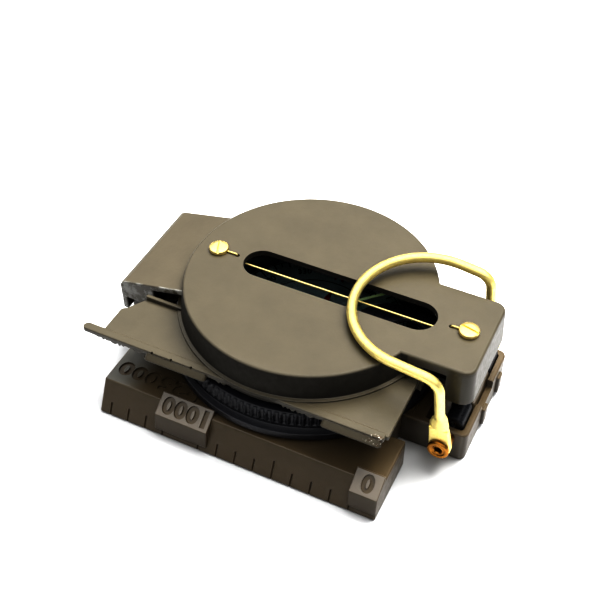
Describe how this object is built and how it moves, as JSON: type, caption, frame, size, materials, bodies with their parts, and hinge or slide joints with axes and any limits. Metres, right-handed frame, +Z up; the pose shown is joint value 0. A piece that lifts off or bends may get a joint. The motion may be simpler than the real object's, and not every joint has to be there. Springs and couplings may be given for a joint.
{
  "type": "geology compass",
  "caption": "Folding lensatic field compass with a slotted lid, sighting wire, ribbed bezel, ruler edge, folding eyepiece and wire thumb ring.",
  "frame": {"origin": "on the dial axis, in the plane of the flat underside", "axes": "+X from the lid hinge to the eyepiece end, +Y away from the ruler edge, +Z up out of the lid"},
  "size_m": [0.0763, 0.0606, 0.0256],
  "materials": {
    "olive_paint": "satin olive-brown enamel on die-cast metal",
    "dark_paint": "dark brown, nearly black enamel",
    "black_plastic": "matte black",
    "brass": "polished",
    "steel": "bright",
    "clear": "clear",
    "white_card": "matte, printed",
    "lume": "pale green luminous paint",
    "rubber": "matte",
    "bowl": "satin"
  },
  "bodies": {
    "base": {"base_housing": "olive_paint", "bottom_cover": "olive_paint", "cover_screws": "steel", "hinge_pin": "steel", "eyepiece_pin": "steel", "ring_rivets": "brass", "compass_bowl": "bowl", "pivot_post": "brass", "bowl_gasket": "rubber", "capsule_glass": "clear", "detent_spring": "steel", "bezel_snap_ring": "steel"},
    "bezel": {"bezel_ring": "dark_paint", "bezel_glass": "clear", "marching_lines": "lume"},
    "card": {"compass_card": "white_card", "card_magnets": "steel", "jewel_cap": "brass"},
    "lid": {"lid_shell": "olive_paint", "hinge_hood": "olive_paint", "sight_wire": "brass", "wire_screws": "brass"},
    "thumb_ring": {"thumb_ring": "brass"},
    "eyepiece": {"lens_bracket": "black_plastic", "eyepiece_lens": "clear", "lens_retainer": "black_plastic"}
  },
  "joints": [
    {"name": "bezel_turn", "type": "hinge", "parent": "base", "child": "bezel", "pos_m": [0, 0, 0.0105], "axis": [0, 0, 1], "continuous": true},
    {"name": "card_turn", "type": "hinge", "parent": "base", "child": "card", "pos_m": [0, 0, 0.0083], "axis": [0, 0, 1], "continuous": true},
    {"name": "ring_swing", "type": "hinge", "parent": "base", "child": "thumb_ring", "pos_m": [0.034, 0, 0.0056], "axis": [0, 1, 0], "range_deg": [0, 225]},
    {"name": "lid_open", "type": "hinge", "parent": "base", "child": "lid", "pos_m": [-0.0335, 0, 0.006], "axis": [0, -1, 0], "range_deg": [0, 95]},
    {"name": "eyepiece_raise", "type": "hinge", "parent": "base", "child": "eyepiece", "pos_m": [0.035, 0, 0.0076], "axis": [0, 1, 0], "range_deg": [0, 90]}
  ],
  "couplings": [
    {"joint": "lid_open", "follows": "ring_swing", "ratio": 0.13333},
    {"joint": "eyepiece_raise", "follows": "ring_swing", "ratio": 0.4}
  ]
}
